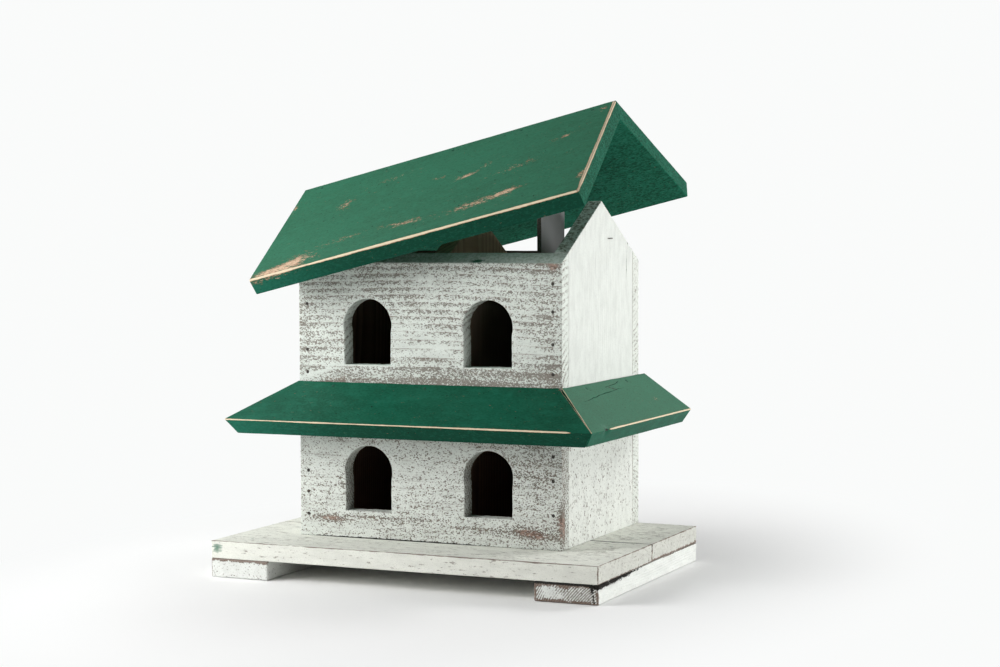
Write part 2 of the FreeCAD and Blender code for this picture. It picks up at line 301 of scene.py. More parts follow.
def link(name, mesh, matrix=Matrix.Identity(4)):
    piece = bpy.data.objects.new(name, mesh)
    piece.matrix_world = matrix
    bpy.context.scene.collection.objects.link(piece)
    return piece


def carve(piece, cutter):
    """Cut one mesh out of another and throw the cutter away."""
    step = piece.modifiers.new("carve", "BOOLEAN")
    step.operation = "DIFFERENCE"
    step.solver = "EXACT"
    step.object = cutter
    bpy.context.view_layer.update()
    graph = bpy.context.evaluated_depsgraph_get()
    mesh = bpy.data.meshes.new_from_object(piece.evaluated_get(graph), depsgraph=graph)
    piece.modifiers.clear()
    piece.data = mesh
    bpy.data.objects.remove(cutter)


def vertices(mesh):
    """A mesh's points in millimetres."""
    points = np.zeros(len(mesh.vertices) * 3, np.float32)
    mesh.vertices.foreach_get("co", points)
    return points.reshape(-1, 3).astype(float) / MM


def store(mesh, name, values):
    attribute = mesh.attributes.new(name, "FLOAT", "POINT")
    attribute.data.foreach_set("value", values.astype(np.float32))


def entrance_outlines(board):
    """Each entrance of a front board: its middle, sill, half width, arch centre and radius."""
    x, y = board.corners[:, 0], board.corners[:, 1]
    inner = (np.abs(x) < board.high[0] - 30) & (y > board.low[1] + 12) & (y < board.high[1] * 0.6)
    found = []
    for side in (-1, 1):
        rim = board.corners[inner & (x * side > 0)]
        low, high = rim.min(0), rim.max(0)
        half = np.ptp(rim[rim[:, 1] < low[1] + 0.1, 0]) / 2
        radius = (high[0] - low[0]) / 2
        found.append(((low[0] + high[0]) / 2, low[1], half, high[1] - radius, radius))
    return found


def tube(shape, rings):
    """Faces between rings of vertices, and over both ends unless they are single vertices."""
    for one, two in zip(rings, rings[1:]):
        for i in range(max(len(one), len(two))):
            j = i + 1
            corners = [one[i % len(one)], one[j % len(one)], two[j % len(two)], two[i % len(two)]]
            shape.faces.new(list(dict.fromkeys(corners)))
    if len(rings[0]) > 1:
        shape.faces.new(rings[0][::-1])
        shape.faces.new(rings[-1])


def closed_mesh(name, shape):
    """A mesh from a closed shape, facing outwards."""
    bmesh.ops.recalc_face_normals(shape, faces=shape.faces)
    mesh = bpy.data.meshes.new(name)
    shape.to_mesh(mesh)
    shape.free()
    return mesh


ENTRANCE_FLARE = 0.9


def entrance_cutter(board, outline, seed):
    """A rough-cut plug the shape of an entrance, flared where it leaves each face."""
    middle, sill, half, centre, radius = outline
    start = math.asin(math.sqrt(radius ** 2 - half ** 2) / radius)
    foot = centre - radius * math.sin(start)
    side_rows = np.linspace(sill, foot, 22)[:-1]
    turns = np.linspace(-start, math.pi + start, 56)
    right = np.column_stack([np.full(len(side_rows), half), side_rows])
    arch = np.column_stack([radius * np.cos(turns), centre + radius * np.sin(turns)])
    left = right[::-1] * (-1, 1)
    floor = np.column_stack([np.linspace(-half, half, 28)[1:-1], np.full(26, sill)])
    rim = np.concatenate([right, arch, left, floor])
    out = np.roll(rim, -1, axis=0) - np.roll(rim, 1, axis=0)
    out = np.column_stack([out[:, 1], -out[:, 0]]) / np.linalg.norm(out, axis=1)[:, None]
    thick = board.high[2]
    flare = ENTRANCE_FLARE
    depths = np.concatenate([[-thick - 3, -thick - 0.5], np.linspace(-thick, -thick + flare, 4),
                             np.linspace(-thick + flare, thick - flare, 9)[1:-1],
                             np.linspace(thick - flare, thick, 4), [thick + 0.5, thick + 3]])
    shape = bmesh.new()
    rings = []
    for depth in depths:
        rise = min(max(abs(depth) - (thick - flare), 0.0), flare)
        spread = flare - math.sqrt(flare ** 2 - rise ** 2)
        row = np.column_stack([rim + out * spread + (middle, 0), np.full(len(rim), depth)])
        bumps = 0.3 * noise(row, (7, 7, 3), seed, 2) + 0.22 * noise(row, (2.2, 2.2, 9), seed + 4)
        row[:, :2] += out * bumps[:, None]
        rings.append([shape.verts.new(p * MM) for p in row])
    tube(shape, rings)
    return link("cutter", closed_mesh("cutter", shape), board.matrix)


def crack_cutter(board, route, width, depth, seed):
    """A thin wedge along a crack on a board's outer face; route is its points, x and y."""
    route = np.array(route, float)
    runs = np.linalg.norm(np.diff(route, axis=0), axis=1)
    reach = np.concatenate([[0], np.cumsum(runs)])
    places = np.linspace(0, reach[-1], max(6, int(reach[-1] / 3)))
    line = np.column_stack([np.interp(places, reach, route[:, a]) for a in (0, 1)])
    way = np.gradient(line, axis=0)
    way /= np.linalg.norm(way, axis=1)[:, None]
    side = np.column_stack([-way[:, 1], way[:, 0]])
    spot = np.column_stack([places, places * 0, places * 0])
    line += side * (noise(spot, 9, seed, 2) * 0.7)[:, None]
    taper = np.sin(np.linspace(0.12, math.pi - 0.12, len(places))) ** 0.5
    half = width / 2 * taper * (1 + 0.4 * noise(spot, 6, seed + 3))
    top = board.high[2] + 1.5
    shape = bmesh.new()
    rings = []
    for p, s, h in zip(line, side, half):
        sag = board.high[2] - depth * (h / (width / 2))
        rings.append([shape.verts.new(Vector((*(p + s * h * 1.6), top)) * MM),
                      shape.verts.new(Vector((*p, sag)) * MM),
                      shape.verts.new(Vector((*(p - s * h * 1.6), top)) * MM)])
    tube(shape, rings)
    return link("cutter", closed_mesh("cutter", shape), board.matrix)


def edge_share(board, points, edge, seed):
    """1 on a rubbed edge, 0 from twice its width away, and fading out past its two ends."""
    one, other, width, start, end = (*edge, -FAR, FAR)[:5]
    width = width * (1 + 0.35 * noise(points * (1, 1, 0), 26, seed, 2))
    share = 1 - board.edge(points, one, other) / (2 * width)
    past = np.maximum(start - points[:, 0], points[:, 0] - end)
    return share - np.clip(past / 12, 0, 1)


def make_board(name, material, grain, body="house", step=(3.4, 2.4, 2.6),
               radius=0.9, rubbed=(), bare=(), stains_and_shade=(), chips=(), blots=(), cutters=(),
               cracks=()):
    """One board of the house, in place of its CAD node. rubbed holds edges: the two faces, the
    width, and where along the board it starts and ends, if not at the board's ends. bare and the
    dark patches after it hold patches on the outer face, less than 0 for thick pale paint; the
    dark patches are stained spots, and painted shade along seams and gaps. chips hold a place,
    two reaches, a depth and how dark they are, in the same way; their darkness is painted shade in
    their hollows. Cracks are painted dark inside as shade. blots of green paint hold a place, a
    reach and a strength."""
    board, seed = boards[name], grain.seed
    points, quads = board.grid(step)
    spread = radius * (1 + 0.35 * noise(points, 24, seed + 20, 2))
    for edge in rubbed:
        near = np.exp(-(board.edge(points, *edge[:2]) / 5) ** 2)
        bend = min(edge[2] * 0.75, 1.6) - radius
        spread += near * bend * (1 + 0.3 * noise(points, 18, seed + 21))
    points, out = board.rounded(points, np.maximum(spread, 0.4))
    points += out * relief(board, points, grain)[:, None]
    for place, along, around, depth, _ in chips:
        share = blob(points, place, (along, around, around))
        share *= 1 + 0.8 * noise(points, 7, seed + 25, 2)
        points -= out * (depth * np.clip(share, 0, 1.3))[:, None]
    mesh = bpy.data.meshes.new(name)
    mesh.from_pydata((points * MM).tolist(), [], quads.tolist(), shade_flat=False)
    mesh.validate()
    piece = link("board_" + name, mesh, board.matrix)
    for cutter in (*cutters, *(crack_cutter(board, *crack) for crack in cracks)):
        carve(piece, cutter)
    mesh = piece.data
    points = vertices(mesh)
    rub = np.zeros(len(points))
    for edge in rubbed:
        rub = np.maximum(rub, edge_share(board, points, edge, seed + 30))
    wood = spots(points, bare)
    dark = spots(points, stains_and_shade)
    # painted shade inside each crack, darker below the surface
    for route, *_ in cracks:
        deep = np.where(points[:, 2] < board.high[2] - 0.4, 1.3, 0.3)
        dark += deep * (route_gap(points, route) < 1.6) * (points[:, 2] > 0)
    # a chip's darkness is painted shade in its hollow; below 0 it is thick pale paint
    for place, along, around, _, shade in chips:
        share = blob(points, place, (along, around, around))
        dark += max(shade, 0) * share
        wood += min(shade, 0) * share
    green = sum((strength * blob(points, place, reach) for place, reach, strength in blots),
                np.zeros(len(points)))
    store(mesh, "green", np.clip(green, 0, 1))
    store(mesh, "ring", ring_phase(points, grain))
    store(mesh, "rub", np.clip(rub, 0, 1))
    store(mesh, "bare", np.clip(wood, -1, 1))
    store(mesh, "stain_and_shade", np.clip(dark, 0, 1))
    mesh.materials.clear()
    mesh.materials.append(material)
    mesh.shade_smooth()
    mesh.set_sharp_from_angle(angle=math.radians(50))
    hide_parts(name)
    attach(piece, body)


# ------------------------ materials
class Nodes:
    """A node tree written as calls, which return outputs, or the node itself from node()."""

    def __init__(self, tree):
        self.nodes = tree.nodes
        self.links = tree.links
        self.nodes.clear()

    def node(self, kind, inputs=(), **settings):
        """One node, with its sockets given constants or other nodes' outputs."""
        made = self.nodes.new(kind)
        for name, value in settings.items():
            setattr(made, name, value)
        for name, value in dict(inputs).items():
            socket = made.inputs[name]
            if isinstance(value, bpy.types.NodeSocket):
                self.links.new(value, socket)
            else:
                socket.default_value = (*value, 1) if socket.type == "RGBA" else value
        return made

    def math(self, operation, one, other=0.0):
        return self.node("ShaderNodeMath", {0: one, 1: other}, operation=operation).outputs[0]

    def add(self, *values):
        total = values[0]
        for value in values[1:]:
            total = self.math("ADD", total, value)
        return total

    def times(self, one, other):
        return self.math("MULTIPLY", one, other)

    def fade(self, value, low, high, to_low=0.0, to_high=1.0):
        """0 to 1 smoothly as value goes from low to high."""
        return self.node("ShaderNodeMapRange", {
            "Value": value, "From Min": low, "From Max": high, "To Min": to_low,
            "To Max": to_high}, interpolation_type="SMOOTHSTEP").outputs[0]

    def mix(self, share, one, other):
        return self.node("ShaderNodeMix", {0: share, 6: one, 7: other},
                         data_type="RGBA").outputs[2]


class Paint(Nodes):
    """A board's material, in millimetres on the board's own axes."""

    def __init__(self, name):
        self.material = bpy.data.materials.new(name)
        self.material.use_nodes = True
        super().__init__(self.material.node_tree)
        place = self.node("ShaderNodeTexCoord").outputs
        self.place = self.node("ShaderNodeVectorMath", {0: place["Object"], "Scale": 1 / MM},
                               operation="SCALE").outputs[0]
        self.facing_x, self.facing_y, self.facing_z = self.node(
            "ShaderNodeSeparateXYZ", {0: place["Normal"]}).outputs
        self.x = self.node("ShaderNodeSeparateXYZ", {0: self.place}).outputs[0]

    def noise(self, size, detail=2.0, rough=0.5, along=1.0, distortion=0.0, offset=0.0):
        """Noise with features of a size in millimetres, longer along the grain, about 0 to 1."""
        place = self.place
        if along != 1:
            place = self.node("ShaderNodeVectorMath", {0: place, 1: (along, 1, 1)},
                              operation="DIVIDE").outputs[0]
        return self.node("ShaderNodeTexNoise", {
            "Vector": place, "Scale": 1 / size, "Detail": detail, "Roughness": rough,
            "Distortion": distortion, "W": offset}, noise_dimensions="4D").outputs["Fac"]

    def vary(self, value, share):
        """A noise's swing about its middle, made larger or smaller."""
        return self.times(self.add(value, -0.5), share)

    def field(self, name):
        """What make_board stored at each vertex under a name."""
        return self.node("ShaderNodeAttribute", attribute_name=name).outputs["Fac"]

    def ring(self):
        """0 to 1 from one dark ring line to the next."""
        return self.math("FRACT", self.field("ring"))

    def towards(self, facing):
        """1 on the faces at both ends of an axis."""
        return self.fade(self.math("ABSOLUTE", facing), 0.6, 0.9)

    def finish(self, colour, roughness, height, bump=0.5, specular=0.5):
        relief_node = self.node("ShaderNodeBump", {"Strength": bump, "Distance": MM,
                                                   "Height": height})
        shader = self.node("ShaderNodeBsdfPrincipled", {
            "Base Color": colour, "Roughness": roughness, "Specular IOR Level": specular,
            "Normal": relief_node.outputs[0]})
        self.node("ShaderNodeOutputMaterial", {0: shader.outputs[0]})
        return self.material


def darker(colour, share):
    return tuple(c * share for c in colour)


BLACK = (0.0, 0.0, 0.0)
# woods and greens in two tones each
GREY_WOOD = (0.065, 0.050, 0.038), (0.19, 0.15, 0.115)
RED_WOOD = (0.075, 0.042, 0.030), (0.36, 0.235, 0.185)
INNER_WOOD = (0.20, 0.13, 0.09), (0.12, 0.07, 0.045)
RUBBED_RED_WOOD = (0.20, 0.10, 0.055), (0.66, 0.46, 0.32)
DARK_GREEN = (0.004, 0.074, 0.040), (0.006, 0.096, 0.054)
# painted shade on an eave face: its colour away from the left end, then at the left end
EAVE_SHADE_GREEN = (0.001, 0.047, 0.026), (0.010, 0.122, 0.076)
BROWN_EDGE, CREAM_EDGE = (0.36, 0.19, 0.095), (0.68, 0.57, 0.41)
RED_STAIN = (0.36, 0.235, 0.18)
RING_LINE = (0.17, 0.125, 0.095)
BROWN_RUB = (0.13, 0.082, 0.058)
GREEN_BLOT = (0.022, 0.13, 0.075)
# near black, for stained spots and for painted shade in seams, gaps, chips and cracks
DIRT_AND_SHADE = (0.018, 0.017, 0.014)
MOSS = {"x": (0.19, 0.20, 0.15), "y": (0.46, 0.55, 0.47)}
MOSSY_PAINT = (0.68, 0.76, 0.71)
# a painted sheen of light on top faces
SHEEN_GREEN = (0.064, 0.225, 0.126)
MOTTLED_GREEN = (0.010, 0.130, 0.076)
PIT_GREEN, FUZZ_GREEN = (0.003, 0.026, 0.016), (0.025, 0.15, 0.10)


def white_paint(name, tone, wear, bands=0.0, ends=(0.0, 0.6), sides=0.0, grit=1.6, dash=1.3,
                deep=0.8, end_side_shade=(0.0, 0.0), streaks=0.0, inside=True, seed=0.0, crest=None):
    """Weathered white paint on a rough board. wear is how much of the wood shows in specks, and
    bands, ends (all over, along the rings) and sides add to it in their places. grit is the
    specks' size, dash their length to width and deep how dark they are; the argument after deep
    darkens the end and side faces as painted shade; inside leaves the back of the board bare;
    crest is the side, x or y, where the mossy top of a wall shows."""
    p = Paint(name)
    ring = p.ring()
    band = p.times(p.fade(ring, 0.15, 0.75), p.fade(ring, 1.0, 0.86))
    broad = p.noise(45, 2, 0.6, along=2.5, offset=seed)
    middling = p.noise(9, 2, 0.6, along=2.5, offset=seed + 3)
    speck = p.noise(grit, 1, 0.6, along=dash, distortion=0.3, offset=seed + 7)
    fine = p.noise(0.7, 1, 0.6, along=1.5, offset=seed + 5)
    end = p.towards(p.facing_x)
    side = p.towards(p.facing_y)
    bare = p.field("bare")
    density = p.add(wear, p.times(p.times(band, p.fade(broad, 0.3, 0.7, 0.5, 1.3)), bands),
                    p.vary(broad, 0.7), p.vary(middling, 0.5),
                    p.times(bare, 1.9), p.times(side, sides),
                    p.times(end, p.add(p.times(band, ends[1]), ends[0])))
    shows = p.fade(p.add(speck, p.vary(fine, 0.3), p.times(density, 0.17)), 0.585, 0.69)
    wood = p.mix(p.noise(9, 2, 0.5, along=4, offset=seed + 9), *GREY_WOOD)
    red = p.fade(p.add(bare, p.vary(middling, 0.6)), 0.45, 0.8)
    grain = p.noise(1.7, 2, 0.6, along=4, offset=seed + 11)
    wood = p.mix(red, wood, p.mix(p.fade(grain, 0.40, 0.60), *RED_WOOD))
    coat = p.mix(p.fade(middling, 0.35, 0.7), tone, darker(tone, 0.9))
    coat = p.mix(p.times(p.fade(fine, 0.50, 0.66), 0.3), coat, darker(tone, 0.6))
    # painted shade darkening the end and side faces
    coat = p.mix(p.add(p.times(end, end_side_shade[0]), p.times(side, end_side_shade[1])), coat, BLACK)
    coat = p.mix(p.times(red, p.fade(speck, 0.40, 0.56, 0.1, 0.75)), coat, RED_STAIN)
    if streaks:
        streak = p.noise(1.3, 2, 0.6, along=45, offset=seed + 15)
        coat = p.mix(p.times(p.fade(streak, 0.62, 0.72), streaks), coat, darker(tone, 0.45))
    colour = p.mix(p.times(shows, deep), coat, wood)
    line = p.times(p.fade(ring, 0.82, 0.91), p.fade(ring, 1.0, 0.95))
    line = p.times(line, p.fade(p.add(middling, p.vary(fine, 0.6)), 0.38, 0.60))
    colour = p.mix(p.times(line, bands * 0.9), colour, RING_LINE)
    if crest:
        upper = p.fade(p.facing_y if crest == "y" else p.facing_x, 0.4, 0.65)
        mottle = p.mix(p.fade(p.noise(3.4, 3, 0.65, offset=seed + 13), 0.40, 0.62),
                       MOSSY_PAINT, MOSS[crest])
        colour = p.mix(p.times(upper, 0.92), colour, mottle)
    if inside:
        raw = p.mix(p.fade(ring, 0.2, 1.0), *INNER_WOOD)
        colour = p.mix(p.fade(p.facing_z, -0.5, -0.8), colour, raw)
    rub = p.add(p.field("rub"), p.vary(speck, 0.9), p.vary(middling, 0.9))
    colour = p.mix(p.times(p.fade(rub, 0.45, 0.62), 0.85), colour, BROWN_RUB)
    green = p.field("green")
    colour = p.mix(p.times(p.fade(p.add(green, p.vary(speck, 1.2)), 0.42, 0.6),
                           p.fade(green, 0.5, 0.9, 0.5, 1.0)), colour, GREEN_BLOT)
    # stained spots and painted shade in seams, gaps, chips and cracks, taken to near black
    stain_and_shade = p.add(p.field("stain_and_shade"), p.vary(speck, 0.7))
    colour = p.mix(p.fade(stain_and_shade, 0.40, 0.58), colour, DIRT_AND_SHADE)
    height = p.add(p.times(speck, -0.3), p.times(shows, -0.2), p.times(band, -0.2),
                   p.times(middling, 0.25), p.times(fine, 0.12))
    return p.finish(colour, 0.85, height, bump=0.7, specular=0.25)


def plain_paint(name, tone, worn, seed=0.0):
    """Paint over a nail's head, with specks of what is under it."""
    p = Paint(name)
    colour = p.mix(p.fade(p.noise(1.6, 2, 0.6, offset=seed), 0.55, 0.7), tone, worn)
    return p.finish(colour, 0.7, p.noise(0.8, 2, 0.6, offset=seed + 2), bump=0.3, specular=0.2)


def green_paint(name, seed=0.0, gloss=0.5, top_sheen=0.0, eave=1.0):
    """Dark green paint, rubbed through to cream wood on the edges and to red wood in patches.
    Its second-last argument is how much painted sheen of light its top faces get, and eave how
    much painted shade darkens its eave faces, less towards their left end."""
    p = Paint(name)
    ring = p.ring()
    broad = p.noise(60, 3, 0.6, along=2, offset=seed)
    middling = p.noise(9, 3, 0.6, along=2.2, offset=seed + 2)
    fine = p.noise(1.6, 2, 0.6, along=2.0, offset=seed + 4)
    rough_sawn = p.math("MAXIMUM", p.towards(p.facing_x), p.fade(p.facing_z, -0.4, -0.7))
    top = p.fade(p.facing_z, 0.6, 0.9)
    base = p.mix(p.fade(broad, 0.35, 0.65), *DARK_GREEN)
    base = p.mix(p.times(p.fade(middling, 0.45, 0.7), 0.6), base, MOTTLED_GREEN)
    # painted sheen: the top faces paler, as if catching the light
    base = p.mix(p.times(top, top_sheen), base, SHEEN_GREEN)
    # painted shade: the eave faces darker, lightening towards the left end where the light falls,
    # as much as eave says
    base = p.mix(p.times(p.fade(p.facing_y, -0.7, -0.9), eave), base,
                 p.mix(p.fade(p.x, -40, -240), *EAVE_SHADE_GREEN))
    base = p.mix(p.times(p.fade(fine, 0.50, 0.66), p.fade(rough_sawn, 0, 1, 0.30, 0.75)),
                 base, PIT_GREEN)
    base = p.mix(p.times(p.fade(fine, 0.50, 0.36), p.fade(rough_sawn, 0, 1, 0.18, 0.5)),
                 base, FUZZ_GREEN)
    speck = p.noise(2.6, 1, 0.4, offset=seed + 11)
    base = p.mix(p.fade(speck, 0.735, 0.76), base, (0.004, 0.009, 0.006))
    grains = p.noise(1.4, 3, 0.7, along=3.2, offset=seed + 6)
    bare = p.field("bare")
    clumps = p.noise(9, 2, 0.6, along=2.5, offset=seed + 8)
    gone = p.fade(p.add(p.times(bare, 0.80), p.times(grains, 2.6), p.times(clumps, 0.6)),
                  2.02, 2.24)
    fibre = p.noise(1.1, 2, 0.6, along=2.2, offset=seed + 18)
    wood = p.mix(p.fade(p.add(fibre, p.times(bare, 0.3)), 0.55, 0.85), *RUBBED_RED_WOOD)
    colour = p.mix(p.times(gone, 0.92), base, wood)
    rub = p.add(p.field("rub"), p.vary(fine, 0.35),
                p.vary(p.noise(14, 2, 0.5, offset=seed + 16), 0.3))
    colour = p.mix(p.fade(rub, 0.42, 0.5), colour, BROWN_EDGE)
    colour = p.mix(p.fade(rub, 0.5, 0.62), colour, CREAM_EDGE)
    # stained spots and painted shade in cracks and chips, taken to near black
    colour = p.mix(p.fade(p.add(p.field("stain_and_shade"), p.times(fine, 0.3)), 0.45, 0.8),
                   colour, (0.012, 0.010, 0.008))
    height = p.add(p.times(fine, p.fade(rough_sawn, 0, 1, 0.10, 0.8)), p.times(middling, 0.2),
                   p.times(gone, -0.2), p.times(ring, 0.04))
    return p.finish(colour, p.fade(rough_sawn, 0, 1, gloss, 0.8), height, bump=0.5,
                    specular=0.08)


def bare_wood(name, light, dark, seed=0.0, darker_below=False):
    """Planed wood with no paint, darker towards the board's low end if the last argument is set."""
    p = Paint(name)
    ring = p.ring()
    fibre = p.noise(0.9, 3, 0.6, along=14, offset=seed)
    colour = p.mix(p.fade(ring, 0.1, 1.0), light, dark)
    colour = p.mix(p.times(p.fade(fibre, 0.4, 0.7), 0.5), colour, dark)
    colour = p.mix(p.times(p.noise(40, 2, 0.5, along=2, offset=seed + 3), 0.4), colour,
                   darker(dark, 0.6))
    if darker_below:
        # darker towards the board's low end
        colour = p.mix(p.fade(p.x, 60, 10, 0.0, 0.85), colour, (0.10, 0.065, 0.045))
    height = p.add(p.times(fibre, 0.2), p.times(ring, 0.05))
    return p.finish(colour, 0.7, height, bump=0.4, specular=0.3)


def slat_faces(name):
    """White-faced hardboard with greyish brown edges."""
    p = Paint(name)
    fleck = p.noise(1.4, 2, 0.6, offset=1.0)
    broad = p.noise(30, 2, 0.5, along=2, offset=4.0)
    face = p.fade(p.math("ABSOLUTE", p.facing_z), 0.6, 0.8)
    white = p.mix(p.fade(broad, 0.3, 0.7), (0.60, 0.61, 0.61), (0.72, 0.73, 0.74))
    brown = p.mix(p.fade(fleck, 0.35, 0.65), (0.12, 0.095, 0.08), (0.22, 0.18, 0.15))
    colour = p.mix(face, brown, white)
    return p.finish(colour, 0.4, p.times(fleck, 0.1), bump=0.3)


def rust(name, seed=0.0):
    """Old steel gone brown and black."""
    p = Paint(name)
    blotch = p.noise(1.4, 3, 0.6, offset=seed)
    grit = p.noise(0.5, 2, 0.6, offset=seed + 2)
    colour = p.mix(p.fade(blotch, 0.38, 0.62), (0.016, 0.013, 0.012), (0.060, 0.032, 0.020))
    return p.finish(colour, 0.6, p.times(grit, 0.3), bump=0.5)


# ------------------------ nails
def loose_parts(mesh):
    """The separate solids of a mesh, each as an array of its points."""
    parent = list(range(len(mesh.vertices)))

    def root(i):
        while parent[i] != i:
            parent[i] = parent[parent[i]]
            i = parent[i]
        return i

    same = {}
    for vertex in mesh.vertices:
        key = tuple(round(c, 5) for c in vertex.co)
        parent[root(vertex.index)] = root(same.setdefault(key, vertex.index))
    for edge in mesh.edges:
        parent[root(edge.vertices[0])] = root(edge.vertices[1])
    groups = {}
    for vertex in mesh.vertices:
        groups.setdefault(root(vertex.index), []).append(tuple(vertex.co))
    return [np.array(points) for points in groups.values()]


SAME_LEVEL = 0.0001


def read_nails(node):
    """Each nail of a CAD group: the middle of its head, the way in, length and head radius."""
    nails = []
    for points in loose_parts(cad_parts[node].data):
        centre = points.mean(0)
        way = np.linalg.svd(points - centre)[2][0]
        along = (points - centre) @ way
        off = np.linalg.norm(points - centre - np.outer(along, way), axis=1)
        if along[np.argmax(off)] > 0:
            way, along = -way, -along
        head = points[along < along.min() + SAME_LEVEL]
        top = head.mean(0)
        tail = points[along > along.max() - SAME_LEVEL].mean(0)
        length = np.linalg.norm(tail - top)
        nails.append((Vector(top), Vector((tail - top) / length), length,
                      np.linalg.norm(head - top, axis=1).max()))
    return nails


SHANK = 1.1
NAIL_SIDES = 20
# radii as shares of the head's, and depths
NAIL_HEAD = (0.0, -0.06), (0.45, -0.03), (0.8, 0.06), (0.96, 0.2), (1.0, 0.42), (0.97, 0.8)


def make_nails(node, body, material, seed):
    """Hammered nails in place of a CAD group: domed rough heads on straight shanks."""
    shape = bmesh.new()
    for number, (top, way, length, radius) in enumerate(read_nails(node)):
        rows = [(r * radius / MM, depth) for r, depth in NAIL_HEAD]
        length /= MM
        rows += [(SHANK, 1.15), (SHANK, length - 3), (0.55 * SHANK, length - 1), (0.0, length)]
        turn = way.to_track_quat("Z", "Y").to_matrix().to_4x4()
        turn.translation = top
        rings = []
        for r, depth in rows:
            ring = []
            for side in range(NAIL_SIDES if r else 1):
                angle = 2 * math.pi * side / NAIL_SIDES
                at = np.array([[math.cos(angle) * 2, math.sin(angle) * 2, number * 7.3]])
                bump = float(noise(at, 1.0, seed)[0])
                reach = r * (1 + 0.05 * bump) if depth < 1 else r
                point = Vector((reach * math.cos(angle), reach * math.sin(angle),
                                depth + (0.05 * bump if depth < 0.3 else 0)))
                ring.append(shape.verts.new(turn @ (point * MM)))
            rings.append(ring)
        tube(shape, rings)
    mesh = closed_mesh(node, shape)
    mesh.materials.append(material)
    mesh.shade_smooth()
    mesh.set_sharp_from_angle(angle=math.radians(60))
    piece = link("set_" + node, mesh)
    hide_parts(node)
    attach(piece, body)


# ------------------------ stage
BACKGROUND = (0.955, 0.965, 0.96)
FLOOR_SIZE = 30.0
FLOOR_DROP = 0.0003
SHADOW_REACH = 0.29, 0.82
SHADOW_NARROWER = 1.6
WORLD_LIGHT = 0.10
MIRRORED = 0.4


def make_floor():
    """A wide pale floor, evenly lit far from the object so that it meets the background."""
    corners = [(x * FLOOR_SIZE, y * FLOOR_SIZE, 0) for x, y in ((-1, -1), (1, -1), (1, 1), (-1, 1))]
    mesh = bpy.data.meshes.new("floor")
    mesh.from_pydata(corners, [], [(0, 1, 2, 3)])
    floor = link("floor", mesh, Matrix.Translation((0, 0, -FLOOR_DROP)))
    material = bpy.data.materials.new("floor")
    material.use_nodes = True
    p = Nodes(material.node_tree)
    place = p.node("ShaderNodeTexCoord").outputs["Object"]
    narrow = p.node("ShaderNodeVectorMath", {0: place, 1: (SHADOW_NARROWER, 1, 1)},
                    operation="MULTIPLY")
    reach = p.node("ShaderNodeVectorMath", {0: narrow.outputs[0]}, operation="LENGTH")
    ray = p.node("ShaderNodeLightPath").outputs
    seen = p.times(p.fade(reach.outputs["Value"], *SHADOW_REACH), ray["Is Camera Ray"])
    paint = p.node("ShaderNodeBsdfPrincipled", {
        "Base Color": (0.90, 0.90, 0.895), "Roughness": 0.6, "Specular IOR Level": 0.2})
    glow = p.node("ShaderNodeEmission", {"Color": BACKGROUND})
    blend = p.node("ShaderNodeMixShader", {0: seen, 1: paint.outputs[0], 2: glow.outputs[0]})
    p.node("ShaderNodeOutputMaterial", {0: blend.outputs[0]})
    mesh.materials.append(material)


def make_world():
    """White surroundings, a little dimmer as a light than they look."""
    world = bpy.data.worlds.new("studio")
    bpy.context.scene.world = world
    world.use_nodes = True
    p = Nodes(world.node_tree)
    ray = p.node("ShaderNodeLightPath").outputs
    dim = p.node("ShaderNodeMapRange", {"Value": ray["Is Glossy Ray"], "To Min": WORLD_LIGHT,
                                        "To Max": WORLD_LIGHT * MIRRORED})
    lit = p.node("ShaderNodeBackground", {"Color": (1, 1, 1), "Strength": dim.outputs[0]})
    seen = p.node("ShaderNodeBackground", {"Color": BACKGROUND})
    blend = p.node("ShaderNodeMixShader", {0: ray["Is Camera Ray"], 1: lit.outputs[0],
                                           2: seen.outputs[0]})
    p.node("ShaderNodeOutputWorld", {0: blend.outputs[0]})


def softbox(name, place, size, power, target=(0, 0, 0.25)):
    data = bpy.data.lights.new(name, "AREA")
    data.shape = "RECTANGLE"
    data.size, data.size_y = size
    data.energy = power
    light = bpy.data.objects.new(name, data)
    bpy.context.scene.collection.objects.link(light)
    light.location = place
    light.rotation_mode = "QUATERNION"
    light.rotation_quaternion = (Vector(target) - Vector(place)).to_track_quat("-Z", "Y")
    light.visible_camera = False


make_camera()
make_world()
make_floor()
softbox("left_box", (-1.15, -1.0, 0.75), (0.9, 0.9), 22)
softbox("left_side_box", (-1.0, -0.65, 0.45), (0.7, 0.9), 7.5)
softbox("roof_box", (-0.75, -0.05, 1.15), (0.5, 0.5), 3.4, (-0.1, -0.05, 0.4))
softbox("right_box", (1.5, 0.05, 0.15), (1.0, 0.4), 15)
softbox("right_back_box", (1.2, 1.5, 1.3), (1.0, 0.8), 25)
softbox("back_box", (-0.3, 2.2, 1.6), (2.4, 1.6), 8.5)
bpy.context.scene.view_settings.view_transform = "Standard"

# ------------------------ the boards
TOP, UNDER = (0, 0, 1), (0, 0, -1)
FRONT_SIDE, BACK_SIDE, LEFT_END, RIGHT_END = (0, -1, 0), (0, 1, 0), (-1, 0, 0), (1, 0, 0)
EAVE = FRONT_SIDE

old_steel = rust("old_steel_rust")
nail_black = plain_paint("nail_black", (0.045, 0.040, 0.036), (0.10, 0.065, 0.045), 5.0)
nail_green = plain_paint("nail_green", (0.010, 0.075, 0.046), (0.02, 0.025, 0.015), 6.0)
nail_white = plain_paint("nail_white", (0.60, 0.63, 0.58), (0.26, 0.21, 0.16), 7.0)
wall_upper = white_paint(
    "wall_upper", (0.65, 0.69, 0.64), 0.10, bands=0.58, ends=(-0.9, 0.9), grit=1.25, dash=1.5,
    seed=1.0, crest="y")
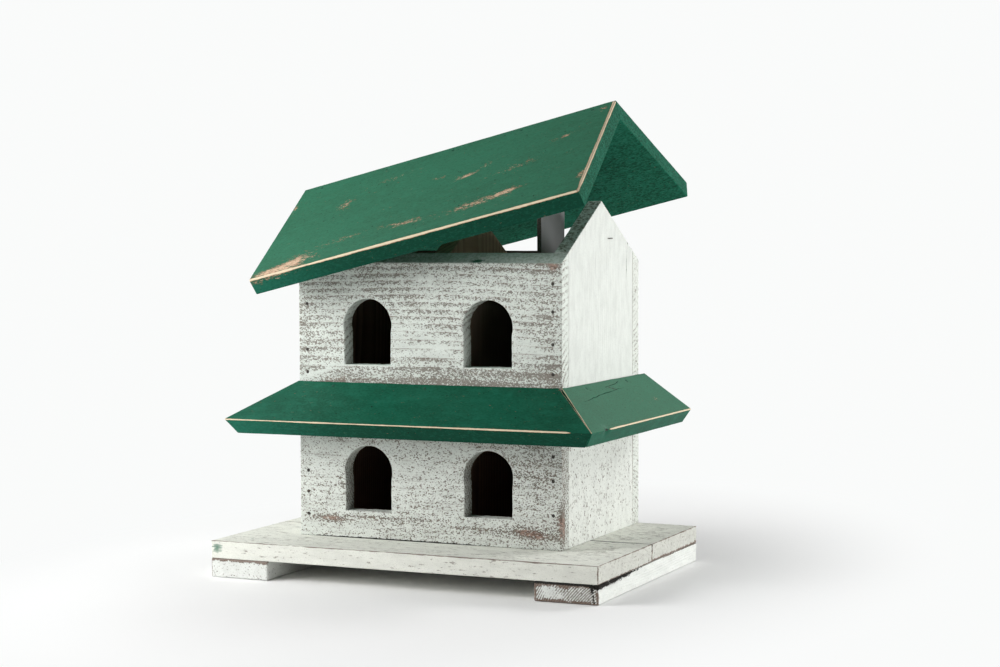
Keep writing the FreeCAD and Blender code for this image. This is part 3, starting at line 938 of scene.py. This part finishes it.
# painted shade darkens its end faces a little
wall_lower = white_paint(
    "wall_lower", (0.65, 0.68, 0.635), 0.14, bands=0.28, ends=(0.2, 0.4), grit=1.25, dash=1.5,
    deep=0.88, end_side_shade=(0.12, 0.0), seed=12.0)
wall_back = white_paint(
    "wall_back", (0.66, 0.69, 0.64), 0.22, bands=0.4, ends=(-0.5, 0.5), seed=31.0, crest="y")
smooth_side = white_paint(
    "smooth_side", (0.66, 0.685, 0.645), -1.4, streaks=0.35, seed=23.0, crest="x")
left_gable = white_paint(
    "left_gable", (0.52, 0.54, 0.505), -0.9, streaks=0.4, seed=27.0, crest="x")
rough_side = white_paint(
    "rough_side", (0.68, 0.70, 0.655), -0.06, dash=1.6, grit=2.0, deep=1.0, seed=44.0)
# painted shade darkens its end faces, and its side faces a little
plank_paint = white_paint(
    "plank_paint", (0.83, 0.84, 0.765), -0.05, ends=(-0.2, 0.3), sides=-0.2, grit=2.2, dash=4.0,
    deep=0.6, end_side_shade=(0.34, 0.14), inside=False, seed=57.0)
# painted shade darkens its end faces slightly
foot_paint = white_paint(
    "foot_paint", (0.74, 0.76, 0.725), -0.6, ends=(0.1, 0.6), end_side_shade=(0.05, 0.0), inside=False,
    seed=63.0)
worn_foot = white_paint(
    "worn_foot", (0.71, 0.73, 0.695), -0.7, ends=(0.65, 2.3), inside=False, seed=67.0)
raw_pink = bare_wood("raw_pink", (0.90, 0.66, 0.47), (0.70, 0.45, 0.30), 3.0, darker_below=True)
raw_pale = bare_wood("raw_pale", (0.30, 0.20, 0.13), (0.18, 0.10, 0.06), 9.0)
slat_white = slat_faces("slat_white")

boards = {node: Board(node, along, outward) for node, along, outward in (
    ("upper_front", RIGHT, FRONT), ("lower_front", RIGHT, FRONT),
    ("upper_back", LEFT, BACK), ("lower_back", LEFT, BACK), ("gable_left", UP, LEFT),
    ("gable_right", UP, RIGHT), ("lower_left", UP, LEFT), ("lower_right", UP, RIGHT),
    ("upper_partition", UP, RIGHT), ("lower_partition", UP, RIGHT), ("upper_floor", RIGHT, UP),
    ("base_plank_front", RIGHT, UP), ("base_plank_back", RIGHT, UP), ("foot_left", BACK, UP),
    ("foot_right", BACK, UP), ("skirt_front", RIGHT, FRONT * 0.55 + UP * 0.83),
    ("skirt_left", FRONT, LEFT * 0.55 + UP * 0.83),
    ("skirt_right", BACK, RIGHT * 0.55 + UP * 0.83),
    ("roof_plank_front", RIGHT, FRONT * 0.5 + UP * 0.87),
    ("roof_plank_back", RIGHT, BACK * 0.5 + UP * 0.87), ("roof_prop", UP, RIGHT))}

NAILS = {"nails_" + wall: (wall,) for wall in (
    "upper_front", "upper_back", "lower_front", "lower_back")}
NAILS.update(
    nails_base=("base_plank_front", "base_plank_back"),
    nails_skirt=("skirt_front", "skirt_left", "skirt_right"), nails_ridge=("roof_plank_front",))
NAIL_PAINT = {"nails_skirt": nail_green, "nails_ridge": nail_green, "nails_base": nail_white}
for seed, (group, hosts) in enumerate(NAILS.items(), 70):
    for top, *_ in read_nails(group):
        for host in (boards[name] for name in hosts):
            place = np.array(host.matrix.inverted() @ top) / MM
            if ((place > host.low - 0.5) & (place < host.high + 0.5)).all():
                host.nails.append(place)
    make_nails(group, "roof" if group == "nails_ridge" else "house",
               NAIL_PAINT.get(group, nail_black), seed)

# walls; patches less than 0 are thick pale paint
upper_bare = [
    (0.46, 60, -60, 190, 23, 1), (0.45, -115, -66, 60, 13, 14), (0.25, 0, 62, 220, 14),
    (0.30, 140, 0, 22, 90), (0.72, 147, 60, 9, 6), (0.5, 132, 66, 20, 5),
    (0.22, -150, 0, 34, 80), (-0.35, 5, -27, 60, 20), (-0.3, 120, -30, 40, 14),
    (0.3, 20, -22, 46, 1.8, -2), (0.5, 2, -38, 26, 1.6, -6), (0.45, 128, -34, 34, 1.6, 8),
    (-1.0, -126, -53, 34, 2.2, 16), (-1.0, -72, -45, 32, 2.2),
    (-0.9, 20, -70, 160, 1.6, -1)]
lower_bare = [(0.75, 124, -64, 38, 9, -5), (0.7, 154, -52, 6, 26), (0.7, -116, -60, 30, 6, -3),
              (0.45, 60, -62, 50, 5), (0.5, -104, -20, 5, 12), (0.35, 0, 72, 220, 14),
              (0.45, -60, -57, 90, 5), (0.2, 125, 0, 50, 90)]
for node, material, grain, bare, stains_and_shade, blots in (
        ("upper_front", wall_upper,
         Grain(-72, -30, 7.0, 101, groove=0.26, rough=0.14, wander=0.5, drift=9),
         upper_bare, [(0.9, -114, 40, 2.4, 2.0), (0.5, 108, 76, 6, 3)],
         [((58, 67, 7), (11, 4, 6), 0.95)]),
        ("lower_front", wall_lower, Grain(40, -90, 4.0, 202, groove=0.10, rough=0.16),
         lower_bare, [(0.7, -5, -3, 3, 2), (0.6, -20, -50, 3, 1.5), (0.6, -8, 20, 4, 1.5),
                      # a painted shadow line in the gap where the wall stands on the base
                      (1.0, -40, -79.5, 190, 2.6)], [])):
    front = boards[node]
    cutters = [entrance_cutter(front, outline, grain.seed + 50 + number)
               for number, outline in enumerate(entrance_outlines(front))]
    make_board(node, material, grain, step=(3.2, 1.9, 2.4), bare=bare, stains_and_shade=stains_and_shade,
               blots=blots, cutters=cutters)
gable_cracks = [([(78, -43.5), (57, -79), (33, -76), (5, -73)], 1.3, 1.8, 611),
                ([(57, -80), (49, -94)], 1.1, 1.6, 612)]
for node, material, grain, step, cracks in (
        ("upper_back", wall_back, Grain(70, -40, 5.0, 303), (4.5, 3, 3), ()),
        ("lower_back", wall_back, Grain(-90, -20, 4.4, 404), (4.5, 3, 3), ()),
        ("gable_left", left_gable, Grain(10, -60, 5.0, 505, groove=0.05, rough=0.05),
         (4, 3, 3), ()),
        ("gable_right", smooth_side, Grain(120, -50, 5.0, 606, groove=0.05, rough=0.05),
         (3, 2.4, 2.6), gable_cracks),
        ("lower_left", rough_side, Grain(-70, -30, 4.6, 707), (4, 3, 3), ()),
        ("lower_right", rough_side, Grain(90, -30, 4.6, 808), (3, 2.4, 2.6), ())):
    make_board(node, material, grain, step=step, cracks=cracks)

# base
make_board("base_plank_front", plank_paint, Grain(30, -50, 5.2, 909), step=(3.6, 2.6, 2.6),
           rubbed=[(TOP, FRONT_SIDE, 0.8), (FRONT_SIDE, RIGHT_END, 1.1), (TOP, BACK_SIDE, 1.1),
                   # the brown rub down the seam edge of the right end is painted shade in the seam
                   (BACK_SIDE, RIGHT_END, 1.6), (TOP, RIGHT_END, 0.7), (UNDER, RIGHT_END, 1.2)],
           bare=[(0.38, 178, 66, 26, 9), (0.3, 196, 20, 22, 40), (0.3, 60, 4, 150, 8)],
           # dark lines along the seam between the planks are painted shade in the gap
           stains_and_shade=[(0.95, 150, 78.5, 300, 2.4), (1.0, 182, 77.5, 40, 4.2)],
           blots=[((-217, -78.5, 2), (10, 4, 8), 0.78)])
make_board("base_plank_back", plank_paint, Grain(-60, -40, 4.8, 1010), step=(4, 3, 2.6),
           # the brown rub down the seam edge of the right end is painted shade in the seam
           rubbed=[(TOP, FRONT_SIDE, 1.1), (TOP, BACK_SIDE, 0.7), (FRONT_SIDE, RIGHT_END, 1.6),
                   (TOP, RIGHT_END, 0.7), (UNDER, RIGHT_END, 2.4)],
           bare=[(0.4, 176, -50, 24, 20), (0.25, 200, 0, 20, 50)],
           # a dark line along the seam is painted shade in the gap
           stains_and_shade=[(0.8, 150, -73, 300, 1.8)])
foot_high = boards["foot_right"].high
# painted shadow: dark dots along the top of the foot's front end, under the base plank
top_edge = [((-foot_high[0], across, foot_high[2]), 3, 2.6, 0.4, 0.75)
            for across in np.linspace(-30, 34, 24)]
# a split down the front end, painted dark as the shade inside it
split = [((-foot_high[0], -foot_high[1] * (0.76 + 0.02 * row), foot_high[2] - 3.0 * row),
          5, 1.4, 0.8, 0.9) for row in range(7)]
make_board("foot_left", foot_paint, Grain(10, -30, 3.4, 1111), step=(4, 2.6, 2.2), radius=1.5,
           rubbed=[(TOP, LEFT_END, 3.0), (LEFT_END, BACK_SIDE, 1.6)])
make_board("foot_right", worn_foot, Grain(-75, -62, 2.3, 1212), step=(3, 1.6, 1.6), radius=1.7,
           rubbed=[(TOP, LEFT_END, 4.2), (LEFT_END, BACK_SIDE, 3.2), (LEFT_END, FRONT_SIDE, 2.4),
                   (UNDER, LEFT_END, 3.0), (TOP, FRONT_SIDE, 0.8)],
           # a chip along the top edge, painted dark as the shadow in the gap under the base plank
           chips=[((-160, -foot_high[1], foot_high[2]), 125, 5.5, 4.4, 1.5),
                  ((-foot_high[0], 19, 1), 3, 6.5, -0.2, -2.2),
                  ((-foot_high[0], 6, -4), 3, 4, -0.1, -1.2)] + split + top_edge)
for node, material, pith_y, seed in (
        ("upper_partition", raw_pink, 20, 1313), ("lower_partition", raw_pale, 60, 1414),
        ("upper_floor", raw_pale, -50, 1515)):
    make_board(node, material, Grain(pith_y, -60, 6.0, seed, groove=0.04, rough=0.04),
               step=(5, 4, 4), radius=0.7)

# roofs
GREEN_GRAIN = Grain(30, -70, 5.5, 0, groove=0.05, rough=0.06)
GREEN_STEP = (3.4, 2.2, 2.4)
ROOF_BARE = [
    (1.0, -168, -92, 46, 12, 3), (0.75, -138, -80, 36, 16, 6), (1.0, 38, 11, 19, 6, 8),
    (0.66, 60, 24, 18, 7, 30), (0.62, 2, 25, 15, 4, -6), (0.72, 66, -62, 56, 13, 9),
    (0.68, 104, -55, 24, 9, 14), (0.72, -14, -62, 40, 9, -4), (0.62, -116, 26, 18, 16, 40),
    (0.62, 148, 42, 20, 7, 16), (0.66, 184, 86, 8, 12), (0.95, 190, -62, 5, 14),
    (0.6, -192, 55, 4, 22), (0.5, -60, 60, 34, 8, 8), (0.52, 100, 0, 40, 9, 10),
    (0.5, -90, -60, 40, 10, 4), (0.6, -52, 98, 12, 4)]
for node, body, seed, rubbed, bare in (
        ("skirt_front", "house", 1616,
         [(TOP, EAVE, 1.0, -FAR, 185), (TOP, RIGHT_END, 0.4)], []),
        ("skirt_left", "house", 1717, [(TOP, EAVE, 1.15)], []),
        ("roof_plank_front", "roof", 1919,
         [(TOP, EAVE, 1.9), (TOP, RIGHT_END, 2.1)], ROOF_BARE),
        ("roof_plank_back", "roof", 2020, [(TOP, BACK_SIDE, 1.5)],
         [(0.7, 60, 40, 50, 9, 5), (0.8, -150, 84, 34, 12), (0.62, -40, -30, 34, 9, 10),
          (0.66, 120, 70, 40, 8, -4), (0.6, -110, 20, 26, 10, 12), (0.7, 186, 20, 6, 26)])):
    # the roof planks' top faces get a painted sheen of light
    paint = green_paint("paint_" + node, seed * 0.37, top_sheen=0.35 if body == "roof" else 0.0)
    make_board(node, paint, GREEN_GRAIN._replace(seed=seed), body,
               step=GREEN_STEP, rubbed=rubbed, bare=bare)
# the right skirt: more painted sheen on its top, and no painted shade on its eave
right_green = green_paint("paint_skirt_right", 672.7, top_sheen=0.5, eave=0.0)
make_board("skirt_right", right_green, GREEN_GRAIN._replace(seed=1818),
           step=GREEN_STEP,
           cracks=[([(-86, 9), (-27, 14), (48, 18.5)], 0.9, 1.4, 1801),
                   ([(8, 23.5), (36, 25.5), (62, 29.5)], 0.9, 1.4, 1802)],
           rubbed=[(TOP, EAVE, 1.1, -103, FAR), (TOP, LEFT_END, 0.45)],
           bare=[(0.6, 94, -8, 16, 6)],
           stains_and_shade=[(0.7, 94, 23, 2.4, 2.0), (0.7, 20, 21, 12, 2.2, -20)],
           chips=[((-108, -34.8, 9.5), 7, 5, 2.2, 0.8)])
make_board("roof_prop", slat_white, Grain(20, -40, 9.0, 2121, groove=0.0, rough=0.02, wave=0.05),
           "prop", step=(5, 3, 1.5), radius=0.5)

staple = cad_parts["gable_staple"]
staple.data.materials.clear()
staple.data.materials.append(old_steel)
